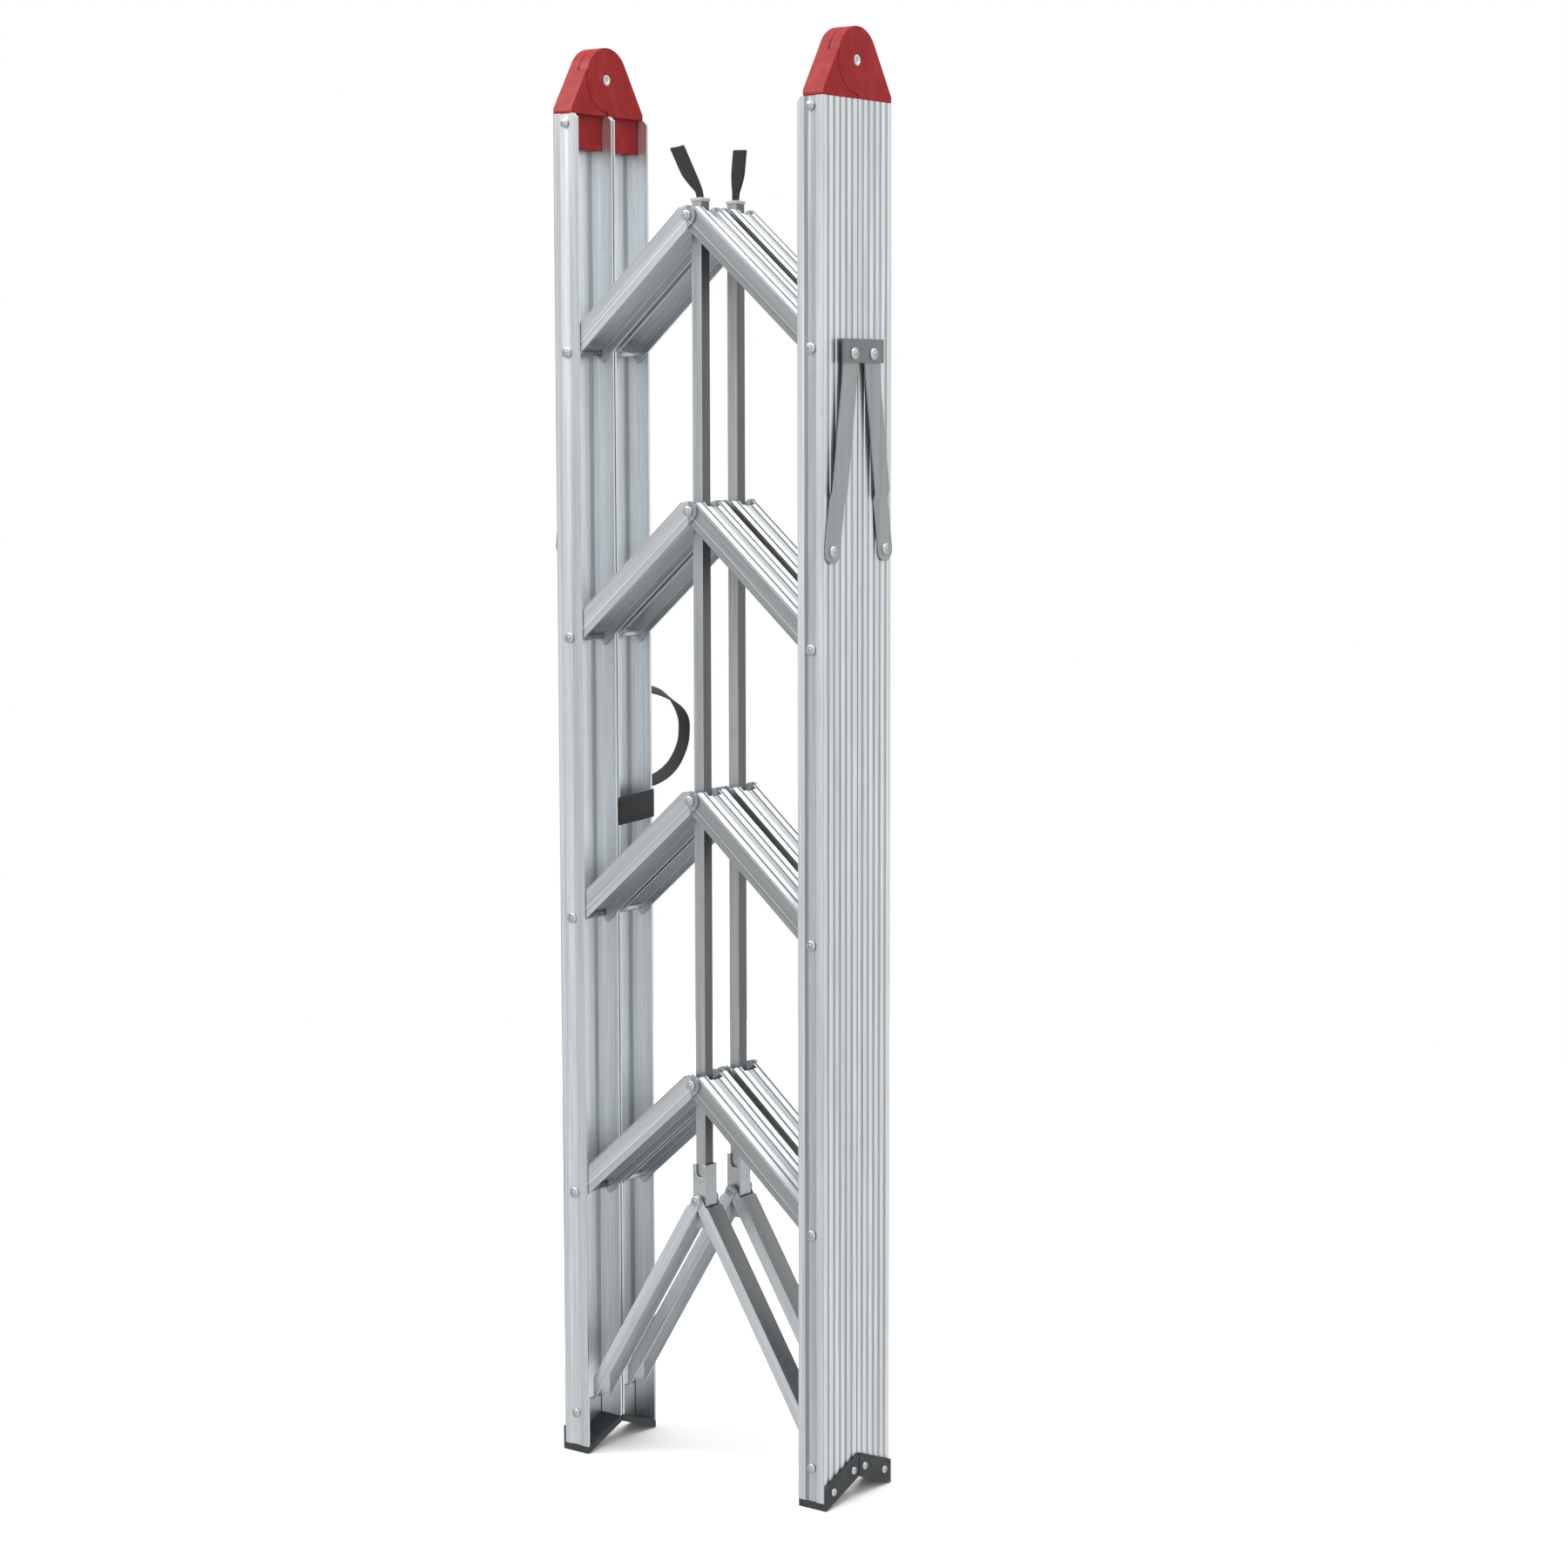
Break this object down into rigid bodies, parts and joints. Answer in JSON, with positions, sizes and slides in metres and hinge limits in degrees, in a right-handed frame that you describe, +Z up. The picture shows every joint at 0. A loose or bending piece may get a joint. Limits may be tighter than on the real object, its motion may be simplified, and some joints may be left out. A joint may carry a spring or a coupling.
{
  "type": "multi position ladder",
  "caption": "Double-sided aluminium folding step ladder, shut as an A-frame and half folded in width, with a centre bar, spreaders, moulded hinges and carry straps",
  "frame": {"origin": "floor level under the middle of the bounding box, with the A-frame shut and the width half folded", "axes": "+X right of someone facing the front leaf, +Y towards the back leaf, +Z up"},
  "size_m": [0.3722, 0.2016, 1.5305],
  "materials": {
    "rail_aluminium": "satin",
    "tread_aluminium": "satin",
    "bar_aluminium": "satin",
    "brace_aluminium": "satin",
    "hinge_plastic": "semi-gloss",
    "foot_rubber": "matte",
    "rivet_steel": "bright",
    "spreader_steel": "zinc plated",
    "bracket_steel": "bright",
    "liner_metal": "matte",
    "cap_plastic": "matte",
    "webbing": "woven"
  },
  "bodies": {
    "front_left_leaf": {"front_left_stile": "rail_aluminium", "front_left_rivets": "rivet_steel", "front_left_foot": "foot_rubber", "front_left_foot_liner": "liner_metal", "front_left_hinge_half": "hinge_plastic"},
    "front_left_rung_1": {"front_left_rung_1": "tread_aluminium"},
    "front_left_rung_2": {"front_left_rung_2": "tread_aluminium"},
    "front_left_rung_3": {"front_left_rung_3": "tread_aluminium"},
    "front_left_rung_4": {"front_left_rung_4": "tread_aluminium"},
    "front_left_brace": {"front_left_brace": "brace_aluminium"},
    "front_right_leaf": {"front_right_stile": "rail_aluminium", "front_right_rivets": "rivet_steel", "front_right_foot": "foot_rubber", "front_right_foot_liner": "liner_metal", "front_right_hinge_half": "hinge_plastic", "right_hinge_bolt": "rivet_steel"},
    "front_right_rung_1": {"front_right_rung_1": "tread_aluminium"},
    "front_right_rung_2": {"front_right_rung_2": "tread_aluminium"},
    "front_right_rung_3": {"front_right_rung_3": "tread_aluminium"},
    "front_right_rung_4": {"front_right_rung_4": "tread_aluminium"},
    "front_right_brace": {"front_right_brace": "brace_aluminium"},
    "front_bar": {"front_centre_bar": "bar_aluminium", "front_centre_pins": "rivet_steel", "front_bar_cap": "cap_plastic", "front_pull_strap": "webbing"},
    "front_bracket": {"front_lock_bracket": "bracket_steel"},
    "back_left_leaf": {"back_left_stile": "rail_aluminium", "back_left_rivets": "rivet_steel", "back_left_foot": "foot_rubber", "back_left_foot_liner": "liner_metal", "back_left_hinge_half": "hinge_plastic", "carry_strap": "webbing", "strap_band": "webbing"},
    "back_left_rung_1": {"back_left_rung_1": "tread_aluminium"},
    "back_left_rung_2": {"back_left_rung_2": "tread_aluminium"},
    "back_left_rung_3": {"back_left_rung_3": "tread_aluminium"},
    "back_left_rung_4": {"back_left_rung_4": "tread_aluminium"},
    "back_left_brace": {"back_left_brace": "brace_aluminium"},
    "back_right_leaf": {"back_right_stile": "rail_aluminium", "back_right_rivets": "rivet_steel", "back_right_foot": "foot_rubber", "back_right_foot_liner": "liner_metal", "back_right_hinge_half": "hinge_plastic"},
    "back_right_rung_1": {"back_right_rung_1": "tread_aluminium"},
    "back_right_rung_2": {"back_right_rung_2": "tread_aluminium"},
    "back_right_rung_3": {"back_right_rung_3": "tread_aluminium"},
    "back_right_rung_4": {"back_right_rung_4": "tread_aluminium"},
    "back_right_brace": {"back_right_brace": "brace_aluminium"},
    "back_bar": {"back_centre_bar": "bar_aluminium", "back_centre_pins": "rivet_steel", "back_bar_cap": "cap_plastic", "back_pull_strap": "webbing"},
    "back_bracket": {"back_lock_bracket": "bracket_steel"},
    "front_left_link": {"front_left_spreader_link": "spreader_steel"},
    "back_left_link": {"back_left_spreader_link": "spreader_steel"},
    "left_plate": {"left_spreader_plate": "spreader_steel"},
    "front_right_link": {"front_right_spreader_link": "spreader_steel"},
    "back_right_link": {"back_right_spreader_link": "spreader_steel"},
    "right_plate": {"right_spreader_plate": "spreader_steel"},
    "left_bolt": {"left_hinge_bolt": "rivet_steel"}
  },
  "joints": [
    {"name": "aframe_open", "type": "hinge", "parent": "left_bolt", "child": "back_left_leaf", "pos_m": [-0.16373, -0.0389, 1.4965], "axis": [1, 0, 0], "range_deg": [0, 20.8]},
    {"name": "front_leaf_swing", "type": "hinge", "parent": "left_bolt", "child": "front_left_leaf", "pos_m": [-0.16373, -0.0389, 1.4965], "axis": [-1, 0, 0], "range_deg": [0, 20.8]},
    {"name": "front_left_rung_hinge_1", "type": "hinge", "parent": "front_left_leaf", "child": "front_left_rung_1", "pos_m": [-0.16048, -0.0691, 0.293], "axis": [0, -1, 0], "range_deg": [-40.8, 24.2]},
    {"name": "width_fold", "type": "hinge", "parent": "front_left_leaf", "child": "front_left_rung_2", "pos_m": [-0.16048, -0.0691, 0.5978], "axis": [0, -1, 0], "range_deg": [-40.8, 24.2]},
    {"name": "front_left_rung_hinge_3", "type": "hinge", "parent": "front_left_leaf", "child": "front_left_rung_3", "pos_m": [-0.16048, -0.0691, 0.9026], "axis": [0, -1, 0], "range_deg": [-40.8, 24.2]},
    {"name": "front_left_rung_hinge_4", "type": "hinge", "parent": "front_left_leaf", "child": "front_left_rung_4", "pos_m": [-0.16048, -0.0691, 1.2074], "axis": [0, -1, 0], "range_deg": [-40.8, 24.2]},
    {"name": "front_bar_hinge", "type": "hinge", "parent": "front_left_rung_2", "child": "front_bar", "pos_m": [0, -0.0691, 0.73633], "axis": [0, -1, 0], "range_deg": [-24.2, 40.8]},
    {"name": "front_right_rung_hinge_1", "type": "hinge", "parent": "front_bar", "child": "front_right_rung_1", "pos_m": [0, -0.0691, 0.43152], "axis": [0, -1, 0], "range_deg": [-24.2, 40.8]},
    {"name": "front_right_rung_hinge_2", "type": "hinge", "parent": "front_bar", "child": "front_right_rung_2", "pos_m": [0, -0.0691, 0.73633], "axis": [0, -1, 0], "range_deg": [-24.2, 40.8]},
    {"name": "front_right_rung_hinge_3", "type": "hinge", "parent": "front_bar", "child": "front_right_rung_3", "pos_m": [0, -0.0691, 1.04113], "axis": [0, -1, 0], "range_deg": [-24.2, 40.8]},
    {"name": "front_right_rung_hinge_4", "type": "hinge", "parent": "front_bar", "child": "front_right_rung_4", "pos_m": [0, -0.0691, 1.34593], "axis": [0, -1, 0], "range_deg": [-24.2, 40.8]},
    {"name": "front_right_leaf_hinge", "type": "hinge", "parent": "front_right_rung_2", "child": "front_right_leaf", "pos_m": [0.16048, -0.0691, 0.5978], "axis": [0, -1, 0], "range_deg": [-40.8, 24.2]},
    {"name": "front_bracket_slide", "type": "slide", "parent": "front_bar", "child": "front_bracket", "axis": [0, 0, 1], "range_m": [-0.059, 0.099]},
    {"name": "front_left_brace_hinge", "type": "hinge", "parent": "front_bracket", "child": "front_left_brace", "pos_m": [0, -0.0721, 0.30402], "axis": [0, -1, 0], "range_deg": [-19.68, 11.72]},
    {"name": "front_right_brace_hinge", "type": "hinge", "parent": "front_bracket", "child": "front_right_brace", "pos_m": [0, -0.0721, 0.30402], "axis": [0, -1, 0], "range_deg": [-11.72, 19.68]},
    {"name": "back_left_rung_hinge_1", "type": "hinge", "parent": "back_left_leaf", "child": "back_left_rung_1", "pos_m": [-0.16048, -0.0087, 0.293], "axis": [0, -1, 0], "range_deg": [-40.8, 24.2]},
    {"name": "back_left_rung_hinge_2", "type": "hinge", "parent": "back_left_leaf", "child": "back_left_rung_2", "pos_m": [-0.16048, -0.0087, 0.5978], "axis": [0, -1, 0], "range_deg": [-40.8, 24.2]},
    {"name": "back_left_rung_hinge_3", "type": "hinge", "parent": "back_left_leaf", "child": "back_left_rung_3", "pos_m": [-0.16048, -0.0087, 0.9026], "axis": [0, -1, 0], "range_deg": [-40.8, 24.2]},
    {"name": "back_left_rung_hinge_4", "type": "hinge", "parent": "back_left_leaf", "child": "back_left_rung_4", "pos_m": [-0.16048, -0.0087, 1.2074], "axis": [0, -1, 0], "range_deg": [-40.8, 24.2]},
    {"name": "back_bar_hinge", "type": "hinge", "parent": "back_left_rung_2", "child": "back_bar", "pos_m": [0, -0.0087, 0.73633], "axis": [0, -1, 0], "range_deg": [-24.2, 40.8]},
    {"name": "back_right_rung_hinge_1", "type": "hinge", "parent": "back_bar", "child": "back_right_rung_1", "pos_m": [0, -0.0087, 0.43152], "axis": [0, -1, 0], "range_deg": [-24.2, 40.8]},
    {"name": "back_right_rung_hinge_2", "type": "hinge", "parent": "back_bar", "child": "back_right_rung_2", "pos_m": [0, -0.0087, 0.73633], "axis": [0, -1, 0], "range_deg": [-24.2, 40.8]},
    {"name": "back_right_rung_hinge_3", "type": "hinge", "parent": "back_bar", "child": "back_right_rung_3", "pos_m": [0, -0.0087, 1.04113], "axis": [0, -1, 0], "range_deg": [-24.2, 40.8]},
    {"name": "back_right_rung_hinge_4", "type": "hinge", "parent": "back_bar", "child": "back_right_rung_4", "pos_m": [0, -0.0087, 1.34593], "axis": [0, -1, 0], "range_deg": [-24.2, 40.8]},
    {"name": "back_right_leaf_hinge", "type": "hinge", "parent": "back_right_rung_2", "child": "back_right_leaf", "pos_m": [0.16048, -0.0087, 0.5978], "axis": [0, -1, 0], "range_deg": [-40.8, 24.2]},
    {"name": "back_bracket_slide", "type": "slide", "parent": "back_bar", "child": "back_bracket", "axis": [0, 0, 1], "range_m": [-0.059, 0.099]},
    {"name": "back_left_brace_hinge", "type": "hinge", "parent": "back_bracket", "child": "back_left_brace", "pos_m": [0, -0.0117, 0.30402], "axis": [0, -1, 0], "range_deg": [-19.68, 11.72]},
    {"name": "back_right_brace_hinge", "type": "hinge", "parent": "back_bracket", "child": "back_right_brace", "pos_m": [0, -0.0117, 0.30402], "axis": [0, -1, 0], "range_deg": [-11.72, 19.68]},
    {"name": "left_link_hinge_front", "type": "hinge", "parent": "front_left_leaf", "child": "front_left_link", "pos_m": [-0.17673, -0.0854, 1.0025], "axis": [-1, 0, 0], "range_deg": [0, 60.9]},
    {"name": "left_plate_hinge", "type": "hinge", "parent": "front_left_link", "child": "left_plate", "pos_m": [-0.17673, -0.0559, 1.20233], "axis": [1, 0, 0], "range_deg": [0, 81.7]},
    {"name": "left_link_hinge_back", "type": "hinge", "parent": "left_plate", "child": "back_left_link", "pos_m": [-0.17673, -0.0219, 1.20233], "axis": [1, 0, 0], "range_deg": [0, 81.7]},
    {"name": "right_link_hinge_front", "type": "hinge", "parent": "front_right_leaf", "child": "front_right_link", "pos_m": [0.17673, -0.0854, 1.0025], "axis": [-1, 0, 0], "range_deg": [0, 60.9]},
    {"name": "right_plate_hinge", "type": "hinge", "parent": "front_right_link", "child": "right_plate", "pos_m": [0.17673, -0.0559, 1.20233], "axis": [1, 0, 0], "range_deg": [0, 81.7]},
    {"name": "right_link_hinge_back", "type": "hinge", "parent": "right_plate", "child": "back_right_link", "pos_m": [0.17673, -0.0219, 1.20233], "axis": [1, 0, 0], "range_deg": [0, 81.7]}
  ],
  "couplings": [
    {"joint": "front_leaf_swing", "follows": "aframe_open", "ratio": 1},
    {"joint": "front_left_rung_hinge_1", "follows": "width_fold", "ratio": 1},
    {"joint": "front_left_rung_hinge_3", "follows": "width_fold", "ratio": 1},
    {"joint": "front_left_rung_hinge_4", "follows": "width_fold", "ratio": 1},
    {"joint": "front_bar_hinge", "follows": "width_fold", "ratio": -1},
    {"joint": "front_right_rung_hinge_1", "follows": "width_fold", "ratio": -1},
    {"joint": "front_right_rung_hinge_2", "follows": "width_fold", "ratio": -1},
    {"joint": "front_right_rung_hinge_3", "follows": "width_fold", "ratio": -1},
    {"joint": "front_right_rung_hinge_4", "follows": "width_fold", "ratio": -1},
    {"joint": "front_right_leaf_hinge", "follows": "width_fold", "ratio": 1},
    {"joint": "front_bracket_slide", "follows": "width_fold", "m_per_rad": -0.138},
    {"joint": "front_left_brace_hinge", "follows": "width_fold", "ratio": 0.48},
    {"joint": "front_right_brace_hinge", "follows": "width_fold", "ratio": -0.48},
    {"joint": "back_left_rung_hinge_1", "follows": "width_fold", "ratio": 1},
    {"joint": "back_left_rung_hinge_2", "follows": "width_fold", "ratio": 1},
    {"joint": "back_left_rung_hinge_3", "follows": "width_fold", "ratio": 1},
    {"joint": "back_left_rung_hinge_4", "follows": "width_fold", "ratio": 1},
    {"joint": "back_bar_hinge", "follows": "width_fold", "ratio": -1},
    {"joint": "back_right_rung_hinge_1", "follows": "width_fold", "ratio": -1},
    {"joint": "back_right_rung_hinge_2", "follows": "width_fold", "ratio": -1},
    {"joint": "back_right_rung_hinge_3", "follows": "width_fold", "ratio": -1},
    {"joint": "back_right_rung_hinge_4", "follows": "width_fold", "ratio": -1},
    {"joint": "back_right_leaf_hinge", "follows": "width_fold", "ratio": 1},
    {"joint": "back_bracket_slide", "follows": "width_fold", "m_per_rad": -0.138},
    {"joint": "back_left_brace_hinge", "follows": "width_fold", "ratio": 0.48},
    {"joint": "back_right_brace_hinge", "follows": "width_fold", "ratio": -0.48},
    {"joint": "left_link_hinge_front", "follows": "aframe_open", "ratio": 2.9232},
    {"joint": "left_plate_hinge", "follows": "aframe_open", "ratio": 3.9232},
    {"joint": "left_link_hinge_back", "follows": "aframe_open", "ratio": 3.9232},
    {"joint": "right_link_hinge_front", "follows": "aframe_open", "ratio": 2.9232},
    {"joint": "right_plate_hinge", "follows": "aframe_open", "ratio": 3.9232},
    {"joint": "right_link_hinge_back", "follows": "aframe_open", "ratio": 3.9232}
  ]
}
